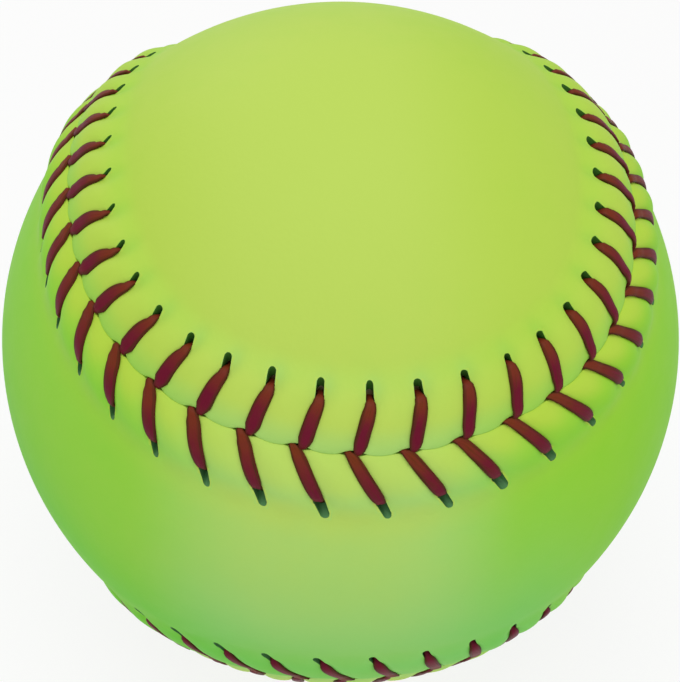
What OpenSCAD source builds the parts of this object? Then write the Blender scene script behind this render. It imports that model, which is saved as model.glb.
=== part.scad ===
// Laced ball: a moulded core in a coat of cement, two leather cover panels
// and the two waxed strands that lace them edge to edge along one seam.
// Origin at the centre of the ball, +Z up. Cover panel A has its two lobes at
// +Z and -Z and its neck at +Y, panel B its lobes at +X and -X and its neck at -Y.

/* [Ball] */
// Girth of the finished ball over the smooth leather
ball_girth = 304.8; // [300:0.2:310]
// Thickness of the cement coat on the core
cement_t = 0.3; // [0.2:0.05:0.6]
// Clearance between one layer and the next
layer_fit = 0.05; // [0.02:0.01:0.1]

/* [Seam line] */
// Angle by which the seam line swings to each side of the ball's middle plane
swing = 60.1; // [58:0.1:62]
// Angle that rounds the turns of the seam line round the four lobes
turn_round = 4.2; // [3:0.1:5.5]
// Angle by which the seam line runs ahead and lags as it passes a neck
neck_lead = 24.6; // [23:0.1:26]
// Angle that evens out the width of the necks
neck_even = 4; // [3:0.1:5]

/* [Cover leather] */
// Thickness of the leather
leather_t = 1.6; // [1.5:0.05:1.9]
// Height of the rolled edge above the smooth cover, between two stitches
roll_rise = 1.85; // [1.7:0.05:2.2]
// Depth by which a stitch draws the roll down
roll_pinch = 0.25; // [0:0.05:0.3]
// Distance from the seam line to the crest of the roll
roll_crest = 3.2; // [2.6:0.1:3.6]
// Distance from the seam line to where the roll ends in the smooth cover
roll_width = 9.8; // [9.4:0.1:10.6]
// Depth of the cut edge below the crest of the roll
edge_dip = 0.9; // [0.6:0.05:1.1]

/* [Lacing] */
// Stitches along the seam, and so holes in each cover panel
stitch_count = 88; // [84:2:92]
// Distance from the seam line to the middle of each hole
hole_row = 6.8; // [6.5:0.1:7.1]
// Diameter of a punched hole
hole_d = 1.4; // [1.3:0.1:1.6]
// Width of the thread where it lies flat on the leather
thread_w = 1.5; // [1.3:0.1:1.8]
// Thickness of the flattened thread
thread_t = 0.45; // [0.4:0.05:0.5]
// Width of the thread where it is drawn through a hole
thread_hole_w = 0.95; // [0.8:0.05:1]
// Width of the thread where it dips between the cut edges
thread_gap_w = 1.2; // [1:0.1:1.4]
// Clearance round the thread
thread_fit = 0.1; // [0.06:0.02:0.12]
// Clearance between the thread and each cut edge
edge_fit = 0.18; // [0.12:0.02:0.24]
// Distance along the seam from a hole in panel A to where its leg meets the seam line
lean_a = 0.8; // [0.4:0.1:1.2]
// Distance along the seam from a hole in panel B to where its leg meets the seam line
lean_b = 4.4; // [4.2:0.1:4.8]
// Distance by which the holes of panel B lie ahead of those of panel A
row_shift = 1.5; // [1.2:0.1:1.8]
// Distance from the seam line's starting point to the first hole of panel A
lace_start = 4.4; // [0:0.1:5.9]

/* [Hidden] */
$fn = 96;

ball_r = ball_girth / 2 / PI;
bed_r = ball_r - leather_t;
coat_r = bed_r - layer_fit;
core_r = coat_r - cement_t - layer_fit;

// The cut edges stand apart by the thread that dips between them
seam_gap = thread_t + 2 * edge_fit;
edge_row = seam_gap / 2;
shoulder_row = (edge_row + roll_crest) / 3;
belly_row = (roll_crest + hole_row) / 2;
// Past the holes the leather lies on its bed again
hole_rim = leather_t / 3;
bed_row = hole_row + hole_d / 2 + hole_rim;
foot_ease = leather_t / 2;
foot_row = roll_width - foot_ease;
settle_row = (hole_row + foot_row) / 2;
// The roll's strip runs on inside the leather, to be one with it
root_row = roll_width + 2 * leather_t;
root_depth = leather_t / 8;
// At the holes the roll stays high enough for the thread to pass beneath it
hole_rise = thread_t + 2 * thread_fit + roll_pinch;
flank_bend = ln(acos(2 * hole_rise / roll_rise - 1) / 180)
    / ln((hole_row - roll_crest) / (roll_width - roll_crest));

// The seam line on a ball of radius 1: it starts beside a neck of panel A, and t runs from 0 to 720
function seam_point(t) =
    let (swung = swing * cos(t) + turn_round * cos(3 * t),
         along = t / 2 + neck_lead * sin(2 * t) + neck_even * sin(4 * t))
    [cos(swung) * cos(along), sin(swung), -cos(swung) * sin(along)];

// Length along the seam line, tabled against t
t_step = 2;
seam_steps = [for (t = [0 : t_step : 720 - t_step]) norm(seam_point(t + t_step) - seam_point(t)) * ball_r];
function running(list, i = 0, total = 0, out = []) =
    i > len(list) ? out : running(list, i + 1, total + (i < len(list) ? list[i] : 0), concat(out, [total]));
seam_marks = running(seam_steps);
seam_length = seam_marks[len(seam_steps)];
t_at_length = [for (i = [0 : len(seam_steps)]) [seam_marks[i], i * t_step]];
pitch = seam_length / stitch_count;

function unit(v) = v / norm(v);
function wrap(x) = x - seam_length * floor(x / seam_length);

// Frame of the seam line at a length x: its point, its direction and the side of panel A
function seam_frame(x) =
    let (t = lookup(wrap(x), t_at_length),
         here = unit(seam_point(t)),
         ahead = unit(seam_point(t + 0.5) - seam_point(t - 0.5)),
         aside = unit(cross(here, ahead)))
    [here, unit(cross(aside, here)), aside];

// A point at length x on the seam, s to panel A's side of it and h above the smooth cover
function spot(x, s, h) =
    let (frame = seam_frame(x), turn = s / ball_r * 180 / PI)
    (ball_r + h) * (cos(turn) * frame[0] + sin(turn) * frame[2]);

// Height of the roll above the smooth cover between two stitches
function puffed(s) = s < roll_crest
    ? roll_rise - edge_dip * pow((roll_crest - s) / (roll_crest - edge_row), 2)
    : roll_rise * (1 + cos(180 * pow((s - roll_crest) / (roll_width - roll_crest), flank_bend))) / 2;

// Height of the roll under a stitch, drawn down least at the cut edge and pressed hollow on the flank
function pinched(s) =
    let (share = (s - roll_crest) / (hole_row - roll_crest))
    s < roll_crest ? puffed(s) - roll_pinch * s / roll_crest
    : s < hole_row ? puffed(roll_crest) * (1 - share) + puffed(hole_row) * share - 1.25 * roll_pinch
    : s < foot_row ? puffed(s) - roll_pinch
    : puffed(s);

function lean(side) = side > 0 ? lean_a : lean_b;
function hole_at(side, i) = lace_start + i * pitch + (side > 0 ? 0 : row_shift);

// Length along the seam of the leg from hole i, at a distance s from the seam line
function leg_at(side, i, s) = hole_at(side, i) - lean(side) * (1 - min(s, hole_row) / hole_row);

// A solid swept through rings of points, all with as many points, closed on itself or capped
function ring_faces(rings, size, closed) =
    [for (i = [0 : rings - (closed ? 1 : 2)], j = [0 : size - 1], half = [0, 1])
        let (a = i * size, b = (i + 1) % rings * size, k = (j + 1) % size)
        half == 0 ? [a + j, a + k, b + k] : [a + j, b + k, b + j]];
function cap_faces(first, size, back) =
    [for (j = [1 : size - 2]) back ? [first, first + j + 1, first + j] : [first, first + j, first + j + 1]];
module swept(rings, closed = false) {
    size = len(rings[0]);
    ends = closed ? [] : concat(cap_faces(0, size, true), cap_faces((len(rings) - 1) * size, size, false));
    polyhedron(
        points = [for (ring = rings) each ring],
        faces = concat(ring_faces(len(rings), size, closed), ends));
}

// Section of the roll, from the cut edge over the crest to its root and back under the leather
function roll_section(stitched) =
    let (height = function (s) stitched ? pinched(s) : puffed(s),
         outer = [edge_row, shoulder_row, roll_crest, belly_row, hole_row, settle_row, foot_row],
         inner = [bed_row, belly_row, edge_row])
    concat(
        [for (s = outer) [s, height(s)]],
        [[root_row, -root_depth]],
        [for (s = inner) [s, height(s) - leather_t]]);

// The roll along the whole seam, drawn down at each stitch and puffed up between
module roll_strip(side) {
    rings = [for (i = [0 : 2 * stitch_count - 1])
        [for (p = roll_section(i % 2 == 0)) spot(leg_at(side, i / 2, p.x), side * p.x, p.y)]];
    swept([for (ring = rings) side > 0 ? ring : [for (j = [len(ring) - 1 : -1 : 0]) ring[j]]], closed = true);
}

// The smooth cover of panel A inside its row of holes, as a cone from the ball's centre
module field_cone() {
    far = 1.5 * ball_r;
    sides = 64;
    half = sides / 2;
    reach = 12;
    rim = [for (i = [0 : sides - 1]) far * unit(spot(i * seam_length / sides, bed_row, 0))];
    // Its far end is closed over a spine that runs from lobe to neck to lobe
    spine = [for (k = [-reach : reach]) let (turn = 90 * k / reach) far * [0, cos(turn), -sin(turn)]];
    function step_of(i) = let (j = i % half) min(reach, j, half - j) * (i < half ? 1 : -1);
    function spine_of(i) = sides + reach + step_of(i);
    polyhedron(
        points = concat(rim, spine, [[0, 0, 0]]),
        faces = [for (i = [0 : sides - 1], part = [0, 1, 2])
            let (n = (i + 1) % sides, apex = sides + len(spine))
            if (part < 2 || spine_of(i) != spine_of(n))
                part == 0 ? [apex, i, n] : part == 1 ? [i, spine_of(n), n] : [i, spine_of(i), spine_of(n)]]);
}

// Turns panel A's place into panel B's: half a turn about the diagonal between their lobes
module on_side(side) {
    rotate(a = side > 0 ? 0 : 180, v = [1, 0, -1]) children();
}

module cover_panel(side) {
    punch_over = leather_t / 2;
    hole_depth = leather_t + roll_rise + 2 * punch_over;
    difference() {
        union() {
            intersection() {
                sphere(r = ball_r);
                on_side(side) field_cone();
            }
            roll_strip(side);
        }
        sphere(r = bed_r);
        for (i = [0 : stitch_count - 1]) {
            v = spot(hole_at(side, i), side * hole_row, 0);
            rotate([0, acos(v.z / norm(v)), atan2(v.y, v.x)])
                translate([0, 0, bed_r - punch_over])
                    cylinder(d = hole_d, h = hole_depth, $fn = 24);
        }
    }
}

// One crossing of a strand: up through hole i on one side, over the roll, down between the cut
// edges and under the other panel. Each stop is [length, distance, height, width]
function crossing(side, i) =
    let (clear = thread_fit + thread_t / 2,
         // A leg bears on the leather that rises beside it
         lift = clear + 1.5 * roll_pinch * thread_w / pitch,
         over = leg_at(side, i, 0))
    [[hole_at(side, i), side * hole_row, pinched(hole_row) - leather_t - clear, thread_hole_w],
     [hole_at(side, i), side * hole_row, pinched(hole_row) + lift, thread_hole_w],
     [leg_at(side, i, roll_crest), side * roll_crest, pinched(roll_crest) + lift, thread_w],
     [over, 0, pinched(shoulder_row) + lift, thread_gap_w],
     [over, 0, pinched(edge_row) - leather_t - clear, thread_gap_w]];

// A flat ring of thread at each stop, mitred so that the thread keeps its thickness round a bend
module strand(first) {
    stops = [for (j = [0 : stitch_count - 1]) each crossing(j % 2 == 0 ? 1 : -1, -j - first)];
    spots = [for (stop = stops) spot(stop[0], stop[1], stop[2])];
    last = len(spots) - 1;
    rings = [for (i = [0 : last])
        let (before = unit(spots[max(i, 1)] - spots[max(i, 1) - 1]),
             after = unit(spots[min(i, last - 1) + 1] - spots[min(i, last - 1)]),
             along = unit(before + after),
             mitre = norm(before + after) / 2,
             across = seam_frame(stops[i][0])[1],
             w = across * stops[i][3] / 2,
             t = unit(cross(across, along)) * thread_t / 2 / mitre)
        [spots[i] + w + t, spots[i] - w + t, spots[i] - w - t, spots[i] + w - t]];
    swept(rings);
}

module core() {
    color("gainsboro") sphere(r = core_r);
}

module cement_coat() {
    color("wheat") difference() {
        sphere(r = coat_r);
        sphere(r = core_r + layer_fit);
    }
}

module cover_panel_a() {
    color("greenyellow") cover_panel(1);
}

module cover_panel_b() {
    color("yellowgreen") cover_panel(-1);
}

module stitch_thread_1() {
    color("firebrick") strand(0);
}

module stitch_thread_2() {
    color("darkred") strand(1);
}

core();
cement_coat();
cover_panel_a();
cover_panel_b();
stitch_thread_1();
stitch_thread_2();
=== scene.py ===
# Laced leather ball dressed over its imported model: two cover panels that close edge to edge
# in a raised roll, and the two waxed strands that lace them.
import math
import bpy
import numpy as np
from mathutils import Matrix, Vector, geometry, kdtree
from mathutils.bvhtree import BVHTree


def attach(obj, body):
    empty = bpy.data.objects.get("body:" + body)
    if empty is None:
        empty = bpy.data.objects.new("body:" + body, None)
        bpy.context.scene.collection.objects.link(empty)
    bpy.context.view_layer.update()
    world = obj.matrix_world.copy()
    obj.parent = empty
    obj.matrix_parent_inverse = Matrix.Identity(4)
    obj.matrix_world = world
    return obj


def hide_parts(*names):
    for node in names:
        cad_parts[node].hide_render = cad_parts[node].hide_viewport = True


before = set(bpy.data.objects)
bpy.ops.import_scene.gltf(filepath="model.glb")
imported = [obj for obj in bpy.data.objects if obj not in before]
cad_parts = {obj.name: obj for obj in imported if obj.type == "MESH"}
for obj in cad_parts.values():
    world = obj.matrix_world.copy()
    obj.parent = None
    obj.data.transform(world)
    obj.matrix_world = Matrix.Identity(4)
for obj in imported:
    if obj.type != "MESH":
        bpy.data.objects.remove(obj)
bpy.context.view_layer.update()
scene = bpy.context.scene
mm = 0.001

# The ball's own measures, in millimetres and degrees, as its solids have them
ball = {
    "girth": 304.8,
    "leather": 1.6,
    "swing": 60.1,        # how far the seam swings to each side of the middle plane
    "turnRound": 4.2,
    "neckLead": 24.6,
    "neckEven": 4.0,
    "stitches": 88,
    "holeRow": 6.9,       # from the seam line to the row of holes
    "slitStartA": 5.15,   # from the seam line to the near end of a slit
    "slitStartB": 5.55,
    "leanA": 1.1,         # from a hole, along the seam, to where its leg meets the seam line
    "leanB": 3.4,
    "rowShift": 1.3,
    "laceStart": 4.4,
    "edge": 0.405,        # from the seam line to a cut edge at a stitch
    "crest": 3.2,
    "rollWidth": 9.8,
    "rise": 1.45,
}
ballR = ball["girth"] / 2 / math.pi


# Sums on sockets, for materials and geometry trees alike

class Value:
    def __init__(self, tree, socket):
        self.tree = tree
        self.socket = socket

    def math(self, operation, *others):
        return self.tree.add("ShaderNodeMath", {"operation": operation}, dict(enumerate((self,) + others)))

    def __add__(self, other): return self.math("ADD", other)
    def __radd__(self, other): return self.math("ADD", other)
    def __sub__(self, other): return self.math("SUBTRACT", other)
    def __rsub__(self, other): return self.tree.number(other).math("SUBTRACT", self)
    def __mul__(self, other): return self.math("MULTIPLY", other)
    def __rmul__(self, other): return self.math("MULTIPLY", other)
    def __truediv__(self, other): return self.math("DIVIDE", other)
    def __rtruediv__(self, other): return self.tree.number(other).math("DIVIDE", self)
    def __neg__(self): return self.math("MULTIPLY", -1.0)

    def squared(self): return self.math("MULTIPLY", self)
    def atLeast(self, low): return self.math("MAXIMUM", low)
    def atMost(self, high): return self.math("MINIMUM", high)
    def bell(self, width): return self.tree.number(math.e).math("POWER", -((self / width).squared()))

    def ramp(self, low, high, start=0.0, end=1.0):
        sockets = {"Value": self, "From Min": low, "From Max": high, "To Min": start, "To Max": end}
        return self.tree.add("ShaderNodeMapRange", {"interpolation_type": "SMOOTHSTEP"}, sockets)


class Tree:
    def __init__(self, nodeTree):
        self.nodeTree = nodeTree

    # One node of any type: its settings first, then what goes into its sockets
    def add(self, kind, settings=None, sockets=None, out=0):
        node = self.nodeTree.nodes.new(kind)
        for name, setting in (settings or {}).items():
            setattr(node, name, setting)
        for name, given in (sockets or {}).items():
            if isinstance(given, Value):
                self.nodeTree.links.new(given.socket, node.inputs[name])
            else:
                node.inputs[name].default_value = given
        return Value(self, node.outputs[out])

    def number(self, value):
        return self.add("ShaderNodeMath", {"operation": "ADD"}, {0: value, 1: 0.0})

    def vector(self, operation, *values, out=0):
        return self.add("ShaderNodeVectorMath", {"operation": operation}, dict(enumerate(values)), out)

    def scaled(self, vector, amount):
        return self.add("ShaderNodeVectorMath", {"operation": "SCALE"}, {0: vector, "Scale": amount})

    def mixed(self, share, first, second, blend="MIX"):
        return self.add("ShaderNodeMix", {"data_type": "RGBA", "blend_type": blend},
                        {0: share, 6: first, 7: second}, 2)

    # A value that the mesh carries at each of its points or faces
    def carried(self, name):
        return self.add("ShaderNodeAttribute", {"attribute_name": name}, {}, 2)


# Camera, floor and light

view = {
    "place": (-15.522, -136.017, 116.004),
    "right": (0.99521, -0.09538, 0.02133),
    "down": (-0.04550, -0.64523, -0.76263),
    "lens": 63.63,
    "shift": (-0.0007, -0.0015),
}


def placeCamera():
    right, down = Vector(view["right"]), Vector(view["down"])
    turn = Matrix((right, -down, right.cross(-down))).transposed()
    camera = bpy.data.objects.new("photoCamera", bpy.data.cameras.new("photoCamera"))
    camera.data.lens, camera.data.sensor_width = view["lens"], 36.0
    camera.data.shift_x, camera.data.shift_y = view["shift"]
    camera.data.clip_start, camera.data.clip_end = 0.01, 20.0
    camera.matrix_world = Matrix.Translation(Vector(view["place"]) * mm) @ turn.to_4x4()
    scene.collection.objects.link(camera)
    scene.camera = camera


light = {
    "world": 0.55,
    "areas": [  # name, place in metres, width, watts, colour
        ("skyPanel", (-0.05, -0.10, 0.80), 0.60, 2.35, (1.0, 0.99, 0.97)),
        ("frontPanel", (-0.15, -0.75, 0.12), 0.50, 0.5, (0.99, 1.0, 1.0)),
        ("rightPanel", (0.65, -0.35, 0.40), 0.50, 0.5, (0.98, 1.0, 1.0)),
        ("backPanel", (-0.30, 0.60, 0.40), 0.50, 0.6, (1.0, 1.0, 1.0)),
    ],
    "floorHalf": 3.0,     # metres
    "floorColour": (0.90, 0.90, 0.89),
    "floorGlow": 0.85,    # share of plain white that the camera sees in the floor
}


def layLight():
    world = bpy.data.worlds.new("studio")
    world.use_nodes = True
    world.node_tree.nodes["Background"].inputs["Color"].default_value = (1.0, 1.0, 1.0, 1.0)
    world.node_tree.nodes["Background"].inputs["Strength"].default_value = light["world"]
    scene.world = world
    for name, place, width, watts, colour in light["areas"]:
        lamp = bpy.data.lights.new(name, "AREA")
        lamp.shape, lamp.size, lamp.energy, lamp.color = "DISK", width, watts, colour
        holder = bpy.data.objects.new(name, lamp)
        aim = (-Vector(place)).to_track_quat("-Z", "Y").to_matrix().to_4x4()
        holder.matrix_world = Matrix.Translation(place) @ aim
        scene.collection.objects.link(holder)


def layFloor():
    half, low = light["floorHalf"], -ballR * mm
    corners = [(-half, -half, low), (half, -half, low), (half, half, low), (-half, half, low)]
    mesh = bpy.data.meshes.new("floor")
    mesh.from_pydata(corners, [], [(0, 1, 2, 3)])
    floor = bpy.data.objects.new("floor", mesh)
    scene.collection.objects.link(floor)
    material, tree, shader = newMaterial("paleFloor")
    shader.inputs["Base Color"].default_value = (*light["floorColour"], 1.0)
    shader.inputs["Roughness"].default_value = 0.9
    path = tree.nodeTree.nodes.new("ShaderNodeLightPath")
    seen = Value(tree, path.outputs["Is Camera Ray"]) + Value(tree, path.outputs["Is Glossy Ray"])
    seen = (seen + Value(tree, path.outputs["Is Transmission Ray"])).atMost(1.0)
    glow = tree.add("ShaderNodeEmission", {}, {"Color": (1.0, 1.0, 1.0, 1.0), "Strength": 1.0})
    body = Value(tree, shader.outputs["BSDF"])
    both = tree.add("ShaderNodeMixShader", {}, {0: seen * light["floorGlow"], 1: body, 2: glow})
    tree.nodeTree.links.new(both.socket, tree.nodeTree.nodes["Material Output"].inputs["Surface"])
    mesh.materials.append(material)


def newMaterial(name):
    material = bpy.data.materials.new(name)
    material.use_nodes = True
    tree = Tree(material.node_tree)
    return material, tree, material.node_tree.nodes["Principled BSDF"]


# The seam line, tabled by its length

def seamTable():
    t = np.radians(np.arange(0.0, 720.01, 0.25))
    swung = np.radians(ball["swing"] * np.cos(t) + ball["turnRound"] * np.cos(3 * t))
    along = t / 2 + np.radians(ball["neckLead"] * np.sin(2 * t) + ball["neckEven"] * np.sin(4 * t))
    here = np.stack([np.cos(swung) * np.cos(along), np.sin(swung), -np.cos(swung) * np.sin(along)], -1)
    run = np.concatenate([[0.0], np.cumsum(np.linalg.norm(np.diff(here, axis=0), axis=1))]) * ballR
    ahead = np.roll(here[:-1], -1, 0) - np.roll(here[:-1], 1, 0)
    ahead = unit(np.concatenate([ahead, ahead[:1]]))
    return run, here, ahead


def unit(v):
    return v / np.linalg.norm(v, axis=-1, keepdims=True)


def seamAt(x):
    x = np.asarray(x) % seamLength
    here, ahead = (unit(np.stack([np.interp(x, seamRun, part[:, k]) for k in range(3)], -1))
                   for part in (seamHere, seamAhead))
    aside = unit(np.cross(here, ahead))
    return here, unit(np.cross(aside, here)), aside


# A point at length x, s to panel A's side and h above the smooth cover, in millimetres
def spot(x, s, h):
    here, ahead, aside = seamAt(x)
    turn = (np.asarray(s) / ballR)[..., None]
    return (ballR + np.asarray(h))[..., None] * (np.cos(turn) * here + np.sin(turn) * aside)


seamRun, seamHere, seamAhead = seamTable()
seamLength = seamRun[-1]
pitch = seamLength / ball["stitches"]

# Hand lacing, by stitch: what the tables give at the stitches between is in proportion
lacing = {
    # How far the holes and the feet of the legs have wandered along the seam
    "holesA": [(8, 0.0), (20, 0.3), (34, -0.4), (50, 0.0), (53, 1.2), (55, 1.1), (56, 0.8), (57, 0.6), (58, 0.4),
               (59, -0.3), (60, -0.2), (61, 0.2), (63, 0.0), (64, 0.1), (65, 0.5), (66, 1.0), (68, 1.2), (69, 0.8),
               (70, 1.0), (72, 0.9), (73, 0.35), (74, -0.2), (75, -0.9), (76, -1.2), (78, -1.3), (83, 0.0)],
    "holesB": [(6, 0.0), (14, -0.3), (27, 0.3), (41, 0.0), (53, 0.3), (55, 0.7), (56, 0.7), (57, 0.2), (58, -0.1),
               (59, 0.2), (60, 0.15), (62, -0.2), (63, -0.1), (64, 0.4), (66, 0.6), (67, 0.75), (68, 1.15), (69, 1.3),
               (70, 0.95), (71, 0.05), (72, -0.2), (73, -0.55), (75, -0.8), (77, -0.6), (83, 0.0)],
    "feetA": [(10, 0.0), (24, 0.3), (38, -0.2), (48, 0.0), (52, 0.7), (55, 1.0), (56, 0.85), (57, 0.45), (58, 0.3),
              (59, -0.15), (60, 0.1), (61, 0.05), (62, -0.1), (65, -0.1), (66, 0.05), (67, 0.2), (68, 0.5), (69, 0.6),
              (70, 0.85), (72, 0.8), (73, 0.6), (74, 0.5), (75, 0.1), (76, -0.2), (83, 0.0)],
    "feetB": [(10, 0.0), (24, 0.3), (38, -0.2), (48, 0.0), (52, 0.6), (55, 0.9), (56, 0.95), (57, 0.55), (58, 0.35),
              (59, -0.05), (60, 0.2), (61, 0.1), (62, 0.0), (64, 0.0), (65, 0.1), (66, 0.25), (67, 0.3), (68, 0.55),
              (69, 0.65), (70, 0.75), (71, 0.5), (72, 0.2), (73, -0.3), (74, -0.4), (75, -0.6), (76, -0.7),
              (83, 0.0)],
    # Length and width of the slits, as shares of the middling one
    "longA": [(10, 0.9), (22, 1.1), (35, 0.8), (48, 1.0), (57, 0.70), (60, 0.76), (62, 0.93), (63, 1.10), (64, 1.15),
              (65, 1.26), (66, 1.08), (67, 0.84), (68, 0.72), (70, 0.76), (71, 0.75), (74, 0.8), (78, 0.9),
              (84, 0.8)],
    "longB": [(8, 1.0), (24, 1.2), (40, 1.0), (52, 1.1), (57, 1.0), (60, 1.1), (62, 1.35), (64, 1.40), (65, 1.33),
              (67, 1.35), (68, 1.2), (70, 1.0), (72, 1.05), (76, 1.0), (84, 1.1)],
    "broadA": [(10, 0.9), (22, 1.0), (35, 1.1), (48, 0.9), (55, 0.45), (57, 0.5), (59, 0.65), (60, 0.80), (62, 0.90),
               (63, 0.96), (65, 0.94), (66, 1.14), (67, 1.10), (68, 0.92), (70, 1.20), (72, 1.15), (78, 1.1),
               (84, 1.0)],
    "broadB": [(8, 1.0), (24, 1.1), (40, 0.9), (52, 0.8), (58, 0.8), (60, 0.88), (62, 1.05), (63, 1.2), (64, 1.30),
               (65, 1.12), (66, 1.12), (67, 1.40), (68, 1.2), (70, 0.85), (72, 1.0), (84, 1.0)],
    # Height of the rolled edges, as a share of the usual: pulled down harder where the seam runs low in front
    "stand": [(8, 1.0), (13, 0.55), (29, 0.55), (34, 1.0)],
    # How far a slit leans along the seam for each millimetre away from it: panel A at most, panel B throughout
    "slitLean": (0.45, 0.45),
    # How far a leg bends aside, for each panel: always, and swinging
    "bow": ((-0.08, 0.30), (0.10, 0.20)),
    "bowEnd": 0.25,       # past the near end of the slit
    "bowSkew": 0.8,       # under 1 puts the most bent place nearer to the seam line
    # How much a leg's width swings, at the seam and more towards its slit: for each panel, before and after the
    # middle of a neck
    "taper": (((-0.45, 0.45), (-0.18, 0.30)), ((-0.50, 0.38), (-0.26, 0.42))),
    # How far a mouth lies before the middle of its two feet: always, and more where the thread pulls hard
    "mouthShift": (0.2, 0.35),
}


def wander(row, stitch):
    stitches, shifts = zip(*lacing[row])
    return np.interp(np.asarray(stitch) % ball["stitches"], stitches, shifts, period=ball["stitches"])


def holeLength(side, stitch):
    nominal = ball["laceStart"] + stitch * pitch + (0.0 if side > 0 else ball["rowShift"])
    return nominal + wander("holesA" if side > 0 else "holesB", stitch)


def footLength(side, stitch):
    lean = ball["leanA"] if side > 0 else ball["leanB"] - ball["rowShift"]
    return ball["laceStart"] + stitch * pitch - lean + wander("feetA" if side > 0 else "feetB", stitch)


# How far a place along the seam is from the middle of the nearest mouth, where both strands dip in
def mouthDistance(x):
    stitch = np.arange(-3, ball["stitches"] + 3)
    middle = (footLength(1, stitch) + footLength(-1, stitch)) / 2
    always, more = lacing["mouthShift"]
    middle = middle - always - more * pulled(middle)
    phase = np.interp(x, middle, stitch)
    return np.abs(phase - np.round(phase)) * pitch


# The pull of the thread swings twice round the seam: 0 at the middle of a neck, -1 before it and 1 after it
def swing(x):
    return np.sin(4 * math.pi * (np.asarray(x) / seamLength - 0.75))


# How hard the thread pulls, from 0 to 1: only after the middle of a neck
def pulled(x):
    return np.clip(2 * swing(x), 0.0, 1.0)


def slitStart(side):
    return ball["slitStartA" if side > 0 else "slitStartB"]


def slitLean(side, x):
    return lacing["slitLean"][0] * swing(x) if side > 0 else np.full(np.shape(x), lacing["slitLean"][1])


# Length along the seam of the leg of a stitch, or of the line between two, s away from the seam line
def legLength(side, stitch, s):
    share = np.clip(np.asarray(s) / ball["holeRow"], 0.0, 1.0)
    straight = footLength(side, stitch) * (1 - share) + holeLength(side, stitch) * share
    steady, swinging = lacing["bow"][0 if side > 0 else 1]
    end = slitStart(side) + lacing["bowEnd"]
    bent = np.sin(math.pi * np.clip(1 - np.asarray(s) / end, 0.0, 1.0) ** lacing["bowSkew"])
    return straight + (steady + swinging * swing(straight)) * bent


# Geometry trees

# A tree with named inputs, each with the value it starts from
def geometryTree(name, inputs):
    group = bpy.data.node_groups.new(name, "GeometryNodeTree")
    group.interface.new_socket("Geometry", in_out="INPUT", socket_type="NodeSocketGeometry")
    for label, value in inputs.items():
        kind = "Material" if isinstance(value, bpy.types.Material) else "Int" if isinstance(value, int) else "Float"
        group.interface.new_socket(label, in_out="INPUT", socket_type="NodeSocket" + kind)
    group.interface.new_socket("Geometry", in_out="OUTPUT", socket_type="NodeSocketGeometry")
    tree = Tree(group)
    entry, result = group.nodes.new("NodeGroupInput"), group.nodes.new("NodeGroupOutput")
    given = {label: Value(tree, entry.outputs[label]) for label in ["Geometry", *inputs]}
    return tree, given, result


def attribute(tree, name, kind="FLOAT"):
    return tree.add("GeometryNodeInputNamedAttribute", {"data_type": kind}, {"Name": name})


def store(tree, shape, name, value, kind="FLOAT", domain="POINT"):
    return tree.add("GeometryNodeStoreNamedAttribute", {"data_type": kind, "domain": domain},
                    {"Geometry": shape, "Name": name, "Value": value})


# Runs the tree on a piece and keeps the result as its plain mesh
def applyTree(piece, tree, inputs):
    modifier = piece.modifiers.new("shape", "NODES")
    modifier.node_group = tree.nodeTree
    for item in tree.nodeTree.interface.items_tree:
        if item.in_out == "INPUT" and item.name in inputs:
            modifier[item.identifier] = inputs[item.name]
    bpy.context.view_layer.update()
    graph = bpy.context.evaluated_depsgraph_get()
    mesh = bpy.data.meshes.new_from_object(piece.evaluated_get(graph), preserve_all_data_layers=True,
                                           depsgraph=graph)
    piece.modifiers.remove(modifier)
    old, piece.data = piece.data, mesh
    bpy.data.meshes.remove(old)
    mesh.name = piece.name


def newPiece(name, points, faces=(), edges=()):
    mesh = bpy.data.meshes.new(name)
    mesh.from_pydata(points, edges, faces)
    piece = bpy.data.objects.new(name, mesh)
    scene.collection.objects.link(piece)
    return piece


def keepAttribute(mesh, name, values):
    values = np.asarray(values, dtype=np.float32)
    kind, field = ("FLOAT_VECTOR", "vector") if values.ndim == 2 else ("FLOAT", "value")
    mesh.attributes.new(name, kind, "POINT").data.foreach_set(field, values.ravel())


# Cover panels

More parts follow.
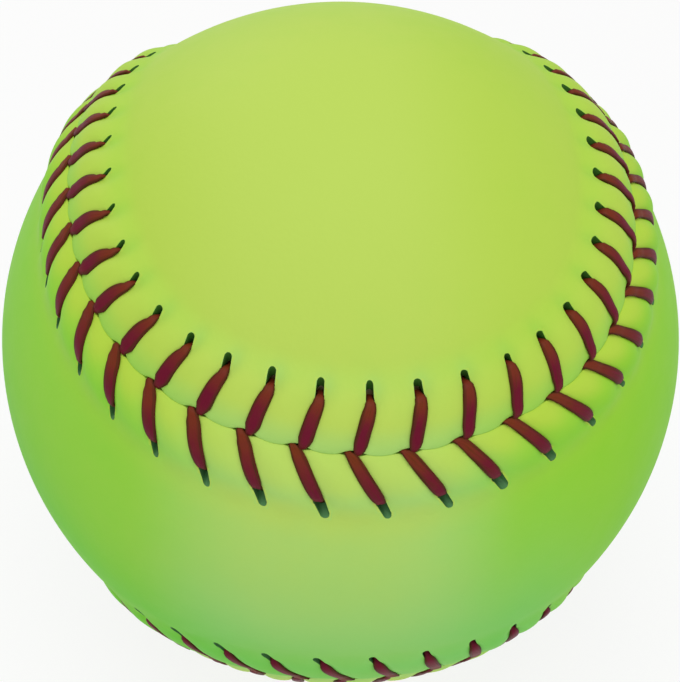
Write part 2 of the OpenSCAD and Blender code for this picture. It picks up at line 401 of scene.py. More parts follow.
panel = {
    "columns": 12,        # mesh columns for each stitch
    "fieldStep": 1.5,     # mesh step on the smooth lobes
    "edgeRows": [(0.405, 0.8), (0.405, 0.014), (0.43, 0.004), (0.48, 0.0)],  # from the seam, depth
    "outerRows": [0.85, 1.15, 1.5, 1.85, 2.2, 2.6, 3.0, 3.4, 3.8, 4.2, 4.6, 4.9, 5.15, 5.35, 5.55, 5.8, 6.1, 6.35,
                  6.6, 6.9, 7.2, 7.5, 7.8, 8.1, 8.45, 8.8, 9.15, 9.5, 9.9, 10.4, 11.0, 11.8, 12.8],
    "underRows": [1.2, 2.2, 3.2, 4.2, 5.2, 6.3, 7.4, 8.5, 9.6, 11.0, 12.8],
    # What a point of the smooth lobes and neck carries: far from the seam, its legs, its mouths and its slits
    "field": {"across": 20.0, "leg": pitch / 2, "mouth": pitch / 2, "bay": 0.0, "drop": 0.0, "under": 0.0,
              "punch": 0.0, "slant": 0.0, "pull": 1.0, "broad": 1.0, "stand": 1.0},
    # Where along the roll each shape fades in and out, from the seam line
    "nearEdge": 2.6,
    "overLeg": (0.5, 1.8, 5.6, 7.4),
    "puffed": (-0.8, 2.0, 5.5, 9.0),
    "creased": (0.5, 1.6, 8.0, 11.0),
    "grooveWidth": 1.15,
    "dimpleWidth": (1.0, 1.5),
    "smoothCrease": 0.14,   # what the lobes have of the roll's creases
    "creaseScale": 210.0,   # creases for each metre
    "slug": (20, 3.4),      # sides and depth of the tool that cuts a slit
    "slitLevel": 0.6,       # depth at which a slit has its full length
    "sharp": 50,            # degrees between two faces from which their edge is drawn sharp
}
relief = {
    "Rise": ball["rise"],
    "Crest": ball["crest"],
    "Roll Width": ball["rollWidth"],
    "Leather": ball["leather"],
    "Edge Dip": 0.44,     # how far the roll falls from its crest to the cut edge
    "Flank Bend": 1.115,
    "Edge Turn": 0.04,    # how much more it falls close to the edge
    "Groove": 0.42,       # depth that a leg is bedded in
    "Puff": 0.30,         # how far the leather swells between two legs
    "Puff Spread": 0.12,
    "Mouth Gap": 0.31,    # half the opening that the threads dip through
    "Mouth Reach": 1.5,   # half its length along the seam
    "Shut Gap": 0.006,
    "Bow": 0.26,          # how far the seam line sags between two stitches
    "Overlap": 0.02,
    "Dimple": 0.30,
    "Slit Width": 1.06,
    "Slit Tip": 0.78,     # width of its far end against its near one
    "Slit Length": 2.30,
    "Slit Slope": 0.95,   # how far the far end of a slit comes in for each millimetre down
    "Wrinkle": 0.07,
    "Seed": 7,
}


# The panel as a closed sheet of even thickness, all on the ball's surface, with where each point lies on it
def panelSheet(side):
    perStitch, stitches = panel["columns"], ball["stitches"]
    count = perStitch * stitches
    column = np.arange(count)
    outer = [(s, d, 0) for s, d in panel["edgeRows"]] + [(s, 0.0, 0) for s in panel["outerRows"]]
    under = [(s, ball["leather"] - d, 0) for s, d in panel["edgeRows"][2:]]
    under += [(s, 0.0, 1) for s in panel["underRows"]]
    rows = under[::-1] + outer
    stitch = column / perStitch
    start = slitStart(side)
    points, data = [], {name: [] for name in (*panel["field"], "aside")}
    for s, drop, below in rows:
        x = legLength(side, stitch, s)
        here, ahead, aside = seamAt(x)
        turn = s / ballR
        points.append(spot(x, side * np.full(count, s), np.zeros(count)))
        data["across"].append(np.full(count, s))
        data["leg"].append(np.abs(stitch - np.round(stitch)) * pitch)
        data["mouth"].append(mouthDistance(x))
        data["bay"].append(np.floor(stitch))
        data["drop"].append(np.full(count, drop))
        data["under"].append(np.full(count, below))
        data["punch"].append((column % perStitch == 0) * float(s == start and not below))
        data["slant"].append(-side * np.arctan(slitLean(side, x)))
        data["pull"].append(wander("longA" if side > 0 else "longB", stitch))
        data["broad"].append(wander("broadA" if side > 0 else "broadB", stitch))
        data["stand"].append(wander("stand", stitch))
        data["aside"].append(side * math.cos(turn) * aside - math.sin(turn) * here)
    a = (np.arange(len(rows) - 1)[:, None] * count + column[None, :]).ravel()
    b = (np.arange(len(rows) - 1)[:, None] * count + (column[None, :] + 1) % count).ravel()
    quads = np.stack([a, b, b + count, a + count], -1)
    quads = quads if side > 0 else quads[:, ::-1]

    loop = points[-1]
    inside, triangles = panelField(side, loop)
    firstOuter = (len(rows) - 1) * count
    total = len(rows) * count
    outerIndex = np.concatenate([np.arange(firstOuter, firstOuter + count), np.arange(total, total + len(inside))])
    underIndex = np.concatenate([np.arange(count), np.arange(total + len(inside), total + 2 * len(inside))])
    for below in (0, 1):
        points.append(inside)
        for name, value in {**panel["field"], "under": below}.items():
            data[name].append(np.full(len(inside), value))
        data["aside"].append(np.zeros((len(inside), 3)))
    faces = quads.tolist() + outerIndex[triangles].tolist() + underIndex[triangles[:, ::-1]].tolist()
    return np.concatenate(points) * mm, faces, {name: np.concatenate(parts) for name, parts in data.items()}


# Even points over the smooth lobes and neck, on a spiral, joined up inside the loop where the rows end
def panelField(side, loop):
    samples = seamAt(np.arange(0, seamLength, 0.5))
    tree = kdtree.KDTree(len(samples[0]))
    for k, here in enumerate(samples[0]):
        tree.insert(here * ballR, k)
    tree.balance()
    step = panel["fieldStep"]
    total = int(4 * math.pi * ballR ** 2 / (0.866 * step ** 2))
    k = np.arange(total)
    lift = 1 - (2 * k + 1) / total
    turn = k * math.pi * (3 - math.sqrt(5))
    flat = np.sqrt(1 - lift ** 2)
    even = np.stack([flat * np.cos(turn), flat * np.sin(turn), lift], -1) * ballR
    kept = []
    for p in even:
        near, index, away = tree.find(p)
        within = side * np.dot(p - samples[0][index] * ballR, samples[2][index]) > 0
        if within and away > panel["outerRows"][-1] + 0.75 * step:
            kept.append(p)
    kept = np.array(kept)
    every = np.concatenate([loop, kept])
    spread = every[:, [0, 2]] / (ballR + side * every[:, 1])[:, None]  # seen from the far side of the ball
    flatPoints = [Vector((float(u), float(v))) for u, v in spread]
    made = geometry.delaunay_2d_cdt(flatPoints, [], [list(range(len(loop)))], 1, 1e-9)
    triangles = np.array([[made[3][v][0] for v in face] for face in made[2]])
    a, b, c = (every[triangles[:, k]] for k in range(3))
    wrong = (np.cross(b - a, c - a) * a).sum(-1) < 0
    triangles[wrong] = triangles[wrong][:, ::-1]
    return kept, triangles


def panelTree(side, inputs):
    tree, given, result = geometryTree("coverPanelShape", inputs)
    across, leg, mouth, bay, drop, under, punch, slant, pull, broad, stand = (
        attribute(tree, name) for name in panel["field"])
    aside = attribute(tree, "aside", "FLOAT_VECTOR")
    place = tree.add("GeometryNodeInputPosition")
    outward = tree.vector("NORMALIZE", place)
    crest, width = given["Crest"], given["Roll Width"]

    # The roll: flat at its crest, falling to the smooth cover on one side and to the cut edge on the other
    inner = ((crest - across).atLeast(0.0) / (crest - ball["edge"]))
    flank = ((across - crest) / (width - crest)).atLeast(0.0).atMost(1.0).math("POWER", given["Flank Bend"])
    roll = given["Rise"] * (0.5 + 0.5 * (flank * math.pi).math("COSINE"))
    edgeFall = given["Edge Dip"] * inner.squared() + given["Edge Turn"] * inner.math("POWER", 6.0)
    roll = (roll - edgeFall) * stand

    # Legs press in, and the leather puffs up between them
    def between(place):
        low, lowEnd, high, highEnd = panel[place]
        return across.ramp(low, lowEnd) * across.ramp(high, highEnd, 1.0, 0.0)

    nearEdge = across.ramp(ball["edge"], panel["nearEdge"], 1.0, 0.0)
    swell = (leg * (math.pi / pitch)).math("SINE").squared()
    chance = tree.add("FunctionNodeRandomValue", {"data_type": "FLOAT"},
                      {2: -1.0, 3: 1.0, "ID": bay, "Seed": given["Seed"]}, 1)
    puff = (given["Puff"] + given["Puff Spread"] * chance) * swell * stand
    puff = puff * between("puffed")
    shut = (mouth * (math.pi / pitch)).math("SINE").squared()
    groove = given["Groove"] * leg.bell(panel["grooveWidth"]) * between("overLeg")
    alongDimple, acrossDimple = panel["dimpleWidth"]
    dimple = given["Dimple"] * leg.bell(alongDimple) * (across - ball["holeRow"]).bell(acrossDimple)

    # Small creases, more of them on the roll than on the lobes
    ripple = tree.add("ShaderNodeTexNoise", {}, {"Vector": place, "Scale": panel["creaseScale"], "Detail": 3.0,
                                                 "Roughness": 0.45})
    start, full, fade, end = panel["creased"]
    share = panel["smoothCrease"]
    creased = given["Wrinkle"] * (share + (1 - share) * across.ramp(fade, end, 1.0, 0.0)) * across.ramp(start, full)
    high = roll + puff - groove - dimple - creased * ripple.ramp(0.3, 0.75)
    high = high + side * given["Overlap"] * shut * nearEdge
    high = (high - drop) * (1.0 - under) + (roll - given["Leather"]) * under

    # The cut edges open where the threads dip in, and all but touch between
    opening = (1.0 - (mouth / given["Mouth Reach"]).squared()).atLeast(0.0)
    slide = given["Shut Gap"] + given["Mouth Gap"] * opening - ball["edge"] - side * given["Bow"] * shut
    offset = tree.vector("ADD", tree.scaled(outward, high * mm), tree.scaled(aside, slide * nearEdge * mm))
    sheet = tree.add("GeometryNodeSetPosition", {}, {"Geometry": given["Geometry"], "Offset": offset})

    # Slits, pulled long by the thread: square at the near end, and closing towards the bottom at the far one
    sides, depth = panel["slug"]
    slug = tree.add("GeometryNodeMeshCylinder", {"fill_type": "NGON"},
                    {"Vertices": sides, "Radius": given["Slit Width"] * (mm / 2), "Depth": depth * mm})
    local = tree.add("GeometryNodeInputPosition")
    farEnd = tree.add("ShaderNodeSeparateXYZ", {}, {0: local}, 1).math("GREATER_THAN", 0.0)
    level = tree.add("ShaderNodeSeparateXYZ", {}, {0: local}, 2)
    longer = (given["Slit Length"] - given["Slit Width"]) * mm
    draw = farEnd * (longer + given["Slit Slope"] * (level + panel["slitLevel"] * mm))
    narrow = tree.add("ShaderNodeSeparateXYZ", {}, {0: local}, 0) * farEnd * (given["Slit Tip"] - 1.0)
    stretch = tree.add("ShaderNodeCombineXYZ", {}, {"X": narrow, "Y": draw + given["Slit Width"] * (mm / 2)})
    slug = tree.add("GeometryNodeSetPosition", {}, {"Geometry": slug, "Offset": stretch})
    slug = store(tree, slug, "raw", 1.0, domain="FACE")
    marks = tree.add("GeometryNodeMeshToPoints", {}, {"Mesh": sheet, "Selection": punch.math("GREATER_THAN", 0.5)})
    onward = tree.add("ShaderNodeVectorRotate", {"rotation_type": "AXIS_ANGLE"},
                      {"Vector": aside, "Axis": outward, "Angle": slant})
    turned = tree.add("FunctionNodeAxesToRotation", {"primary_axis": "Z", "secondary_axis": "Y"},
                      {"Primary Axis": outward, "Secondary Axis": onward})
    sized = tree.add("ShaderNodeCombineXYZ", {}, {"X": broad, "Y": pull, "Z": 1.0})
    slugs = tree.add("GeometryNodeInstanceOnPoints", {},
                     {"Points": marks, "Instance": slug, "Rotation": turned, "Scale": sized})
    slugs = tree.add("GeometryNodeRealizeInstances", {}, {"Geometry": slugs})
    punched = tree.add("GeometryNodeMeshBoolean", {"operation": "DIFFERENCE", "solver": "MANIFOLD"},
                       {"Mesh 1": sheet, "Mesh 2": slugs})
    smooth = tree.add("GeometryNodeSetShadeSmooth", {"domain": "FACE"},
                      {"Geometry": punched, "Shade Smooth": True})
    bend = tree.add("GeometryNodeInputMeshEdgeAngle").math("GREATER_THAN", math.radians(panel["sharp"]))
    smooth = tree.add("GeometryNodeSetShadeSmooth", {"domain": "EDGE"},
                      {"Geometry": smooth, "Selection": bend, "Shade Smooth": False})
    whole = tree.add("GeometryNodeRealizeInstances", {}, {"Geometry": smooth})
    done = tree.add("GeometryNodeSetMaterial", {}, {"Geometry": whole, "Material": given["Material"]})
    tree.nodeTree.links.new(done.socket, result.inputs["Geometry"])
    return tree


def makePanel(name, side, material):
    points, faces, data = panelSheet(side)
    piece = newPiece(name, points.tolist(), faces)
    for label, values in data.items():
        keepAttribute(piece.data, label, values)
    inputs = {**relief, "Material": material}
    applyTree(piece, panelTree(side, inputs), inputs)
    print(f"{name}: {len(piece.data.polygons)} faces")
    return piece


# Stitching threads

thread = {
    "thickness": 0.48,
    "bedded": 0.06,       # how far a leg is sunk into its groove
    "holeWidth": 0.90,
    "lipWidth": 1.22,
    "gapWidth": 0.84,
    "hiddenWidth": 1.30,
    "hiddenDepth": (1.36, 0.14),  # under the smooth cover, and how much less under a roll of full height
    "ringStep": 0.42,
    # The way into a slit: how far past its near end the four stops lie, and the height of the last three,
    # over the smooth cover for the first of them and from the slit's lip for the others
    "slitAway": (0.77, 0.66, 0.56, 0.36),
    "slitFall": (-0.50, -0.35, 0.02),
    "lipProbe": 0.3,      # the lip's height is taken this far before the slit
    "lipSink": 0.10,
    "narrowing": 0.5,     # how far a leg narrows towards a narrow slit
    "legs": {  # share of the way to the slit, width, and share of rust: painted light, at the end of a leg that lies higher on the front of the ball
        1: [(0.975, 1.40, 0.9), (0.89, 1.56, 0.8), (0.78, 1.66, 0.6), (0.66, 1.70, 0.3), (0.53, 1.69, 0.1),
            (0.41, 1.68, 0.0), (0.30, 1.66, 0.0), (0.20, 1.60, 0.0), (0.45, 1.34, 0.1), (0.02, 0.92, 0.3)],
        -1: [(0.975, 1.54, 0.0), (0.89, 1.62, 0.0), (0.78, 1.62, 0.1), (0.66, 1.60, 0.2), (0.53, 1.57, 0.4),
             (0.41, 1.55, 0.6), (0.30, 1.54, 0.8), (0.20, 1.50, 0.9), (0.45, 1.34, 1.0), (0.02, 0.92, 1.0)],
    },  # the last two of each panel lie that many millimetres from the seam line
    "hookA": 0.10,        # how far a strand turns back along the seam as it dips in
    "hookB": 0.45,
    "hookPulled": 0.40,   # how much further where the thread pulls hard
    "hookApart": 0.8,     # and on panel A for each millimetre of its feet's distance past this same measure
    "footFall": (0.03, 0.14, 0.72),  # below the last stop on the roll, at the two on its edge and between the panels
    "ply": 0.05,          # depth of the furrow between the plies
    "twist": 14.0,        # millimetres for one turn of the plies
    "corners": 14,
}


# Height of the leather over the smooth ball below a point, the highest across a leg's width
def leatherHeight(tree, x, s):
    best = -2.0
    for shift in (-0.6, 0.0, 0.6):
        way = Vector(unit(spot(x + shift, s, 0.0)))
        hit = tree.ray_cast(way * 0.06, -way)[0]
        if hit:
            best = max(best, hit.length / mm - ballR)
    return best


# One crossing: up through a hole, over the roll, down between the cut edges and under the other panel, each
# stop with its place, width, thickness and share of rust, which is painted light
def crossingStops(tree, side, stitch):
    foot = float(footLength(side, stitch))
    lay = thread["thickness"] / 2 - thread["bedded"]
    near = slitStart(side)
    probe = near - thread["lipProbe"]
    lip = leatherHeight(tree, float(legLength(side, stitch, probe)), side * probe) - thread["lipSink"]
    start = float(legLength(side, stitch, near))
    lowest, lift = thread["hiddenDepth"]
    deep = -lowest + lift * float(wander("stand", stitch))
    lean = float(slitLean(side, start))
    broad = min(1.15, float(wander("broadA" if side > 0 else "broadB", stitch)))
    atSeam, further = lacing["taper"][0 if side > 0 else 1][0 if swing(start) < 0 else 1]
    legs, hole = thread["legs"][side], thread["holeWidth"] * broad
    litRust = legs[0][2]
    inside, edge, over = thread["slitFall"]
    heights = (deep, inside, lip + edge, lip + over)
    widths = (hole, hole, hole + 0.06, thread["lipWidth"] * (0.35 + 0.65 * broad))
    stops = [(start + lean * away, near + away, h, wide, 1.0, litRust)
             for away, h, wide in zip(thread["slitAway"], heights, widths)]
    for share, wide, litRust in legs[:-2]:
        s = share * near
        x = float(legLength(side, stitch, s))
        narrowed = 1 - thread["narrowing"] * max(0.0, 1 - broad) * share ** 6
        wide *= (1 + float(swing(start)) * (atSeam + further * share)) * narrowed
        stops.append((x, s, leatherHeight(tree, x, side * s) + lay, wide, 0.92, litRust))
    top = stops[-1][2]
    apart = float(footLength(1, stitch) - footLength(-1, stitch))
    spread = thread["hookApart"]
    hook = thread["hookA"] + spread * max(0.0, apart - spread) if side > 0 else thread["hookB"]
    hook += thread["hookPulled"] * float(pulled(start))
    for (s, wide, litRust), fall, back in zip(legs[-2:], thread["footFall"], (0.1, 0.55)):
        stops.append((float(legLength(side, stitch, s)) - back * hook, s, top - fall, wide, 0.88, litRust))
    gap, hidden = thread["gapWidth"], thread["hiddenWidth"]
    stops += [(foot - 0.9 * hook, -0.10, top - thread["footFall"][2], gap, 0.80, litRust),
              (foot - hook, -0.14, -0.75, gap, 0.85, litRust),
              (foot - hook - 0.35, -0.75, -1.15, hidden, 1.0, 0.0),
              (foot - hook - 1.4, -3.9, deep, hidden, 1.0, 0.0)]
    return [(x, side * s, *rest) for x, s, *rest in stops]


# A smooth line through all the stops, with an even number of steps from each to the next
def strandLine(tree, first):
    stops = []
    for j in range(ball["stitches"]):
        stops += crossingStops(tree, 1 if j % 2 == 0 else -1, -j - first)
    stops = np.array(stops[:-1])
    stops[:, 0] = np.unwrap(stops[:, 0], period=seamLength)
    padded = np.vstack([2 * stops[0] - stops[1], stops, 2 * stops[-1] - stops[-2]])
    flat = spot(stops[:, 0], stops[:, 1], stops[:, 2])
    gaps = np.linalg.norm(np.diff(flat, axis=0), axis=1)
    pieces = []
    for k, gap in enumerate(gaps):
        u = np.arange(0, 1, 1.0 / max(1, round(gap / thread["ringStep"])))[:, None]
        p0, p1, p2, p3 = padded[k:k + 4]
        pieces.append(0.5 * (2 * p1 + (p2 - p0) * u + (2 * p0 - 5 * p1 + 4 * p2 - p3) * u ** 2
                             + (3 * p1 - p0 - 3 * p2 + p3) * u ** 3))
    return np.concatenate(pieces + [stops[-1:]])


def threadTree(inputs):
    tree, given, result = geometryTree("stitchThreadShape", inputs)
    line = tree.add("GeometryNodeMeshToCurve", {}, {"Mesh": given["Geometry"]})
    place = tree.add("GeometryNodeInputPosition")
    line = store(tree, line, "middle", place, "FLOAT_VECTOR")
    ring = tree.add("GeometryNodeCurvePrimitiveCircle", {"mode": "RADIUS"},
                    {"Resolution": given["Corners"], "Radius": 1 * mm})
    ring = store(tree, ring, "turn", tree.add("GeometryNodeInputIndex") * (2 * math.pi) / given["Corners"])
    tube = tree.add("GeometryNodeCurveToMesh", {}, {"Curve": line, "Profile Curve": ring, "Fill Caps": True})

    # The ring is pressed flat, with a furrow each side where the twisted plies meet
    turn, run, wide, thick = (attribute(tree, name) for name in ("turn", "run", "wide", "thick"))
    twisted = turn - run * (2 * math.pi) / given["Twist"]
    furrow = 1.0 - given["Ply"] * (0.5 + 0.5 * (twisted * 2.0).math("COSINE"))
    x, y = turn.math("COSINE"), turn.math("SINE")
    x = x.math("SIGN") * x.math("ABSOLUTE").math("POWER", 0.85)
    y = y.math("SIGN") * y.math("ABSOLUTE").math("POWER", 0.75)
    halfWidth = x * furrow * wide * (mm / 2)
    halfHeight = y * furrow * thick * given["Thickness"] * (mm / 2)
    flat = tree.vector("ADD", tree.scaled(attribute(tree, "acrossLeg", "FLOAT_VECTOR"), halfWidth),
                       tree.scaled(attribute(tree, "upLeg", "FLOAT_VECTOR"), halfHeight))
    pressed = tree.vector("ADD", attribute(tree, "middle", "FLOAT_VECTOR"), flat)
    tube = tree.add("GeometryNodeSetPosition", {}, {"Geometry": tube, "Position": pressed})
    tube = tree.add("GeometryNodeSetShadeSmooth", {"domain": "FACE"}, {"Geometry": tube, "Shade Smooth": True})
    whole = tree.add("GeometryNodeRealizeInstances", {}, {"Geometry": tube})
    done = tree.add("GeometryNodeSetMaterial", {}, {"Geometry": whole, "Material": given["Material"]})
    tree.nodeTree.links.new(done.socket, result.inputs["Geometry"])
    return tree


def makeThread(name, first, leather, material):
    line = strandLine(leather, first)
    x, s, h, wide, thick, litRust = line.T
    middle = spot(x, s, h)
    ahead = seamAt(x)[1]
    along = unit(np.gradient(middle, axis=0))
    acrossLeg = unit(ahead - (ahead * along).sum(-1, keepdims=True) * along)
    upLeg = np.cross(along, acrossLeg)
    run = np.concatenate([[0.0], np.cumsum(np.linalg.norm(np.diff(middle, axis=0), axis=1))])
    count = len(middle)
    piece = newPiece(name, (middle * mm).tolist(), edges=[(k, k + 1) for k in range(count - 1)])
    for label, values in {"run": run, "wide": wide, "thick": thick, "litRust": litRust, "acrossLeg": acrossLeg,
                          "upLeg": upLeg}.items():
        keepAttribute(piece.data, label, values)
    inputs = {"Thickness": thread["thickness"], "Ply": thread["ply"], "Twist": thread["twist"],
              "Corners": thread["corners"], "Material": material}
    applyTree(piece, threadTree(inputs), inputs)
    print(f"{name}: {run[-1] / 1000:.2f} m of thread, {len(piece.data.polygons)} faces")
    return piece


# Finishes

leatherLook = {
    # Each colour at the sides of the ball, and in its middle as the camera sees it: the sides in painted shade,
    # deeper and less blue, the middle paler
    "yellow": {1: ((0.487, 0.700, 0.080), (0.520, 0.715, 0.108)),
               -1: ((0.480, 0.705, 0.060), (0.515, 0.735, 0.128))},
    "green": {1: ((0.255, 0.690, 0.022), (0.255, 0.700, 0.085)),
              -1: ((0.260, 0.690, 0.045), (0.280, 0.750, 0.260))},
    "lip": {1: ((0.255, 0.690, 0.085), (0.300, 0.740, 0.250)),
            -1: ((0.255, 0.690, 0.060), (0.300, 0.700, 0.150))},
    "middle": ((-0.030, -0.012), (0.002, 0.018)),   # where that middle begins and ends, in metres along x
    # Slit walls: the cut leather's own darker colour, darkened further as painted shade inside the slits
    "cut": {1: (0.055, 0.175, 0.025), -1: (0.085, 0.250, 0.085)},
    "uneven": (0.25, 0.16),   # how much the share of green varies, in clouds and in spots
    # Panel A, painted shade in green: round its back (share, from, to along y), under the slits (share, where,
    # how wide) and on the lip at its cut edge, where the roll turns down (from, to across the roll; share at the
    # sides, and less in the middle)
    "backShade": (0.25, -0.012, 0.034),
    "slitRowShade": (0.14, 7.8, 1.6),
    "lipShadeReach": (0.4, 3.4),
    "lipShadeShare": (0.56, 0.14),
    # Panel B in painted shade: yellow on its roll, and greener on its two lobes than across its neck, beyond the
    # roll, in the hollow by the slits and, with less blue, on the right
    "leastShade": 0.03,
    "lobeShade": (0.60, 0.006, 0.007, 0.026),
    "fieldShade": (0.16, 8.5, 12.8),
    "rollEnd": (0.5, 3.6),
    "hollowShade": (0.24, 5.8, 1.4),
    "rightShadeColour": (0.262, 0.690, 0.018),
    "rightFrom": (0.012, 0.030),
    # Painted light from the floor below: paler and bluer low on its neck
    "floorBounce": (0.210, 0.660, 0.190),
    "floorBounceShare": 0.64,
    "floorBounceLow": (0.016, -0.018),
    "floorBounceWide": (0.018, 0.034),
    # Painted shade, deeper round the rim as the camera sees it and on the far side: the direction towards the camera,
    # what is left of each colour, and how it comes on
    "towardCamera": (-0.087, -0.758, 0.647),
    "rimShade": (0.60, 0.92, 0.42),
    "rimShadeFrom": (0.036, 0.018),
    "rimShadeLow": (0.025, -0.015, 0.3, 1.0),
    "rimShadeLeft": (-0.015, 0.012, 1.15, 0.6),
    # Painted shade round each slit, in the lip's colour
    "slitShade": (0.25, 1.3, 1.5),   # share of the lip's colour round each slit, and how far along and across
    "roughness": 0.58,
    "grain": 1500.0,      # pebbles for each metre
}
threadLook = {
    "middle": (0.150, 0.003, 0.022),
    # Painted light: rust at the end of each leg that lies higher on the front of the ball
    "litRust": (0.190, 0.032, 0.006),
    # Painted shade along the thread's edges, and its darker fibres
    "edge": (0.070, 0.020, 0.004),
    "roughness": 0.50,
}


def leatherMaterial(name, side):
    material, tree, shader = newMaterial(name)
    where = tree.add("ShaderNodeTexCoord", {}, {}, 3)
    look = leatherLook
    across, leg, raw = (tree.carried(label) for label in ("across", "leg", "raw"))
    cloud = tree.add("ShaderNodeTexNoise", {}, {"Vector": where, "Scale": 28.0, "Detail": 3.0, "Roughness": 0.5})
    mottle = tree.add("ShaderNodeTexNoise", {}, {"Vector": where, "Scale": 260.0, "Detail": 4.0, "Roughness": 0.6})
    x, y, z = (tree.add("ShaderNodeSeparateXYZ", {}, {0: where}, k) for k in range(3))
    # The middle as the camera sees it takes the paler colours, the sides the painted shade
    (left, leftEnd), (right, rightEnd) = look["middle"]
    middle = x.ramp(left, leftEnd) * x.ramp(right, rightEnd, 1.0, 0.0)
    yellow, green, lip = (tree.mixed(middle, *((*colour, 1) for colour in look[dye][side]))
                          for dye in ("yellow", "green", "lip"))
    clouds, spots = look["uneven"]
    uneven = clouds * (cloud - 0.5) + spots * (mottle - 0.5)
    if side > 0:
        # Painted shade: greener round the back and along the row of slits, with random clouds and spots of green
        back, backFrom, backTo = look["backShade"]
        row, rowPlace, rowWide = look["slitRowShade"]
        share = back * y.ramp(backFrom, backTo) + row * (across - rowPlace).bell(rowWide) + uneven
        base = tree.mixed(share.atLeast(0.0).atMost(1.0), yellow, green)
        # Painted shade in the lip's colour where the roll turns down to the cut edge, more at the sides than in the
        # middle
        lipSides, lipLess = look["lipShadeShare"]
        lipShadeShare = across.ramp(*look["lipShadeReach"], 1.0, 0.0) * (lipSides - lipLess * middle)
        lipShadeShare = lipShadeShare * across.math("GREATER_THAN", 0.1)
    else:
        # Painted shade: greener on the lobes, beyond the roll and in the hollow by the slits, with random clouds and
        # spots; the roll keeps its yellow, scalloped between the legs
        lobe, lobeShift, lobeFrom, lobeTo = look["lobeShade"]
        field, fieldFrom, fieldTo = look["fieldShade"]
        share = look["leastShade"] + lobe * (x + lobeShift).math("ABSOLUTE").ramp(lobeFrom, lobeTo)
        share = share + field * across.ramp(fieldFrom, fieldTo) + uneven
        bay = (leg * (math.pi / pitch)).math("SINE").squared() * across.math("LESS_THAN", 19.0)
        hollow, hollowPlace, hollowWide = look["hollowShade"]
        share = share * (across - bay).ramp(*look["rollEnd"]) + hollow * (across - hollowPlace).bell(hollowWide)
        # Painted shade on the right side, in a green with less blue
        base = tree.mixed(x.ramp(*look["rightFrom"]), green, (*look["rightShadeColour"], 1))
        base = tree.mixed(share.atLeast(0.0).atMost(1.0), yellow, base)
        # Painted light from the floor: paler and bluer low on the neck
        low = z.ramp(*look["floorBounceLow"]) * x.math("ABSOLUTE").ramp(*look["floorBounceWide"], 1.0, 0.0)
        base = tree.mixed(look["floorBounceShare"] * low, base, (*look["floorBounce"], 1))
        # Painted shade where the surface turns from the camera, more low down and on the left
        towardCamera = tree.vector("DOT_PRODUCT", where, look["towardCamera"], out=1)
        away = towardCamera.ramp(*look["rimShadeFrom"]) * z.ramp(*look["rimShadeLow"]) * x.ramp(*look["rimShadeLeft"])
        base = tree.mixed(away, base, (*look["rimShade"], 1), "MULTIPLY")
        lipShadeShare = 0.0
    # Painted shade in the lip's colour round each slit
    halo, haloAlong, haloAcross = look["slitShade"]
    lipShadeShare = lipShadeShare + halo * leg.bell(haloAlong) * (across - ball["holeRow"]).bell(haloAcross)
    base = tree.mixed(lipShadeShare, base, lip)
    # Slit walls: the cut leather's colour with painted shade inside the slits
    base = tree.mixed(raw, base, (*look["cut"][side], 1))
    pebble = tree.add("ShaderNodeTexVoronoi", {"feature": "SMOOTH_F1"},
                      {"Vector": where, "Scale": look["grain"], "Smoothness": 0.6, "Randomness": 0.9})
    fine = tree.add("ShaderNodeTexNoise", {}, {"Vector": where, "Scale": 3800.0, "Detail": 2.0})
    pore = tree.add("ShaderNodeTexNoise", {}, {"Vector": where, "Scale": 700.0, "Detail": 3.0, "Roughness": 0.55})
    height = 0.5 * pebble + 0.25 * fine + 0.6 * pore
    bump = tree.add("ShaderNodeBump", {}, {"Strength": 0.20, "Distance": 0.00012, "Height": height})
    rough = look["roughness"] + 0.10 * (mottle - 0.5) - 0.22 * raw
    links = tree.nodeTree.links
    links.new(base.socket, shader.inputs["Base Color"])
    links.new(rough.socket, shader.inputs["Roughness"])
    links.new(bump.socket, shader.inputs["Normal"])
    shader.inputs["Specular IOR Level"].default_value = 0.20
    return material


def threadMaterial():
    material, tree, shader = newMaterial("waxedThread")
    look = threadLook
    turn, run, litRust = (tree.carried(label) for label in ("turn", "run", "litRust"))
    side = turn.math("COSINE").math("ABSOLUTE")
    fibrePlace = tree.add("ShaderNodeCombineXYZ", {}, {"X": turn.math("COSINE") * 3.2 + run * 0.35,
                                                       "Y": turn.math("SINE") * 3.2, "Z": run * 0.28})
    fibre = tree.add("ShaderNodeTexNoise", {}, {"Vector": fibrePlace, "Scale": 1.0, "Detail": 4.0, "Roughness": 0.6})
    patch = tree.add("ShaderNodeTexNoise", {"noise_dimensions": "1D"}, {"W": run * 0.35, "Scale": 1.0, "Detail": 2.0})
    # Rust as painted light at the higher end of each leg, broken up by fibres and by patches along the thread
    rusty = (0.9 * litRust + 0.4 * (fibre - 0.5) + 0.6 * (patch - 0.5)).atLeast(0.0).atMost(1.0)
    base = tree.mixed(rusty, (*look["middle"], 1), (*look["litRust"], 1))
    # Painted shade along both edges of the flattened thread, with darker fibres at random
    dark = (0.85 * side.ramp(0.32, 0.88) + 2.2 * (fibre - 0.52)).atLeast(0.0).atMost(1.0)
    base = tree.mixed(dark, base, (*look["edge"], 1))
    bump = tree.add("ShaderNodeBump", {}, {"Strength": 0.45, "Distance": 0.00012, "Height": fibre})
    rough = look["roughness"] + 0.25 * (fibre - 0.5)
    links = tree.nodeTree.links
    links.new(base.socket, shader.inputs["Base Color"])
    links.new(rough.socket, shader.inputs["Roughness"])
    links.new(bump.socket, shader.inputs["Normal"])
    shader.inputs["Specular IOR Level"].default_value = 0.12
    return material


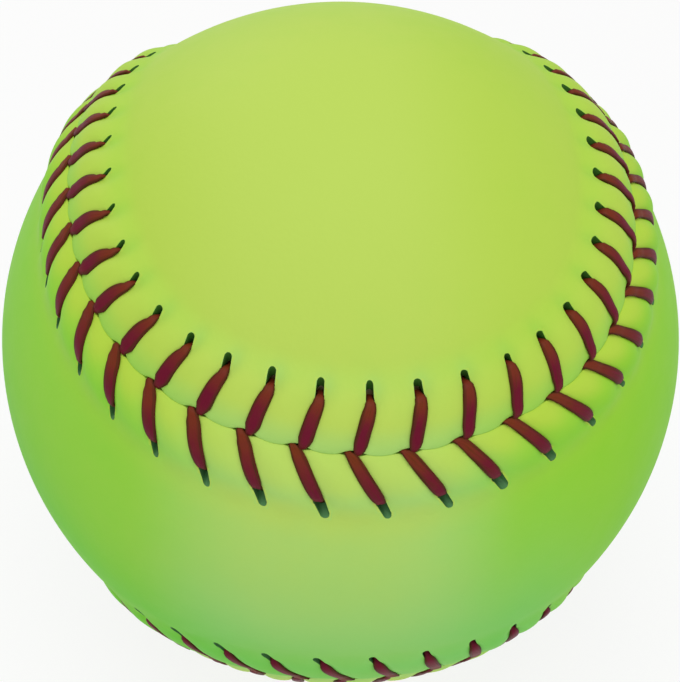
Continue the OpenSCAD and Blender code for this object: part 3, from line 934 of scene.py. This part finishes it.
# The hidden core and its coat of cement keep their solids and take a finish of their own
def hiddenMaterial(name, pale, dark, size, roughness, depth):
    material, tree, shader = newMaterial(name)
    where = tree.add("ShaderNodeTexCoord", {}, {}, 3)
    cells = tree.add("ShaderNodeTexVoronoi", {"feature": "F1"}, {"Vector": where, "Scale": size, "Randomness": 1.0})
    blur = tree.add("ShaderNodeTexNoise", {}, {"Vector": where, "Scale": size / 6, "Detail": 4.0, "Roughness": 0.55})
    base = tree.mixed((0.6 * blur + 0.5 * cells).atMost(1.0), (*pale, 1), (*dark, 1))
    bump = tree.add("ShaderNodeBump", {}, {"Strength": 0.4, "Distance": depth * mm, "Height": cells + 0.5 * blur})
    rough = roughness + 0.2 * (blur - 0.5)
    tree.nodeTree.links.new(base.socket, shader.inputs["Base Color"])
    tree.nodeTree.links.new(rough.socket, shader.inputs["Roughness"])
    tree.nodeTree.links.new(bump.socket, shader.inputs["Normal"])
    return material


def dress(node, material):
    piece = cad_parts[node]
    for slot in piece.material_slots:
        slot.material = material


# The whole ball

placeCamera()
layLight()
layFloor()
print("camera, floor and light placed")
dress("core", hiddenMaterial("mouldedCore", (0.72, 0.66, 0.50), (0.58, 0.52, 0.37), 900.0, 0.55, 0.15))
dress("cement_coat", hiddenMaterial("driedCement", (0.62, 0.43, 0.15), (0.44, 0.28, 0.08), 420.0, 0.38, 0.10))
covers = []
for name, side, node in (("coverPanelA", 1, "cover_panel_a"), ("coverPanelB", -1, "cover_panel_b")):
    piece = makePanel(name, side, leatherMaterial(name + "Leather", side))
    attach(piece, "root")
    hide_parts(node)
    covers.append(piece)
places, sheets = [], []
for piece in covers:
    sheets += [[v + len(places) for v in face.vertices] for face in piece.data.polygons]
    places += [v.co.copy() for v in piece.data.vertices]
leather = BVHTree.FromPolygons(places, sheets)
waxed = threadMaterial()
for name, first, node in (("stitchThread1", 0, "stitch_thread_1"), ("stitchThread2", 1, "stitch_thread_2")):
    piece = makeThread(name, first, leather, waxed)
    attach(piece, "root")
    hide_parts(node)

scene.view_settings.view_transform = "Standard"
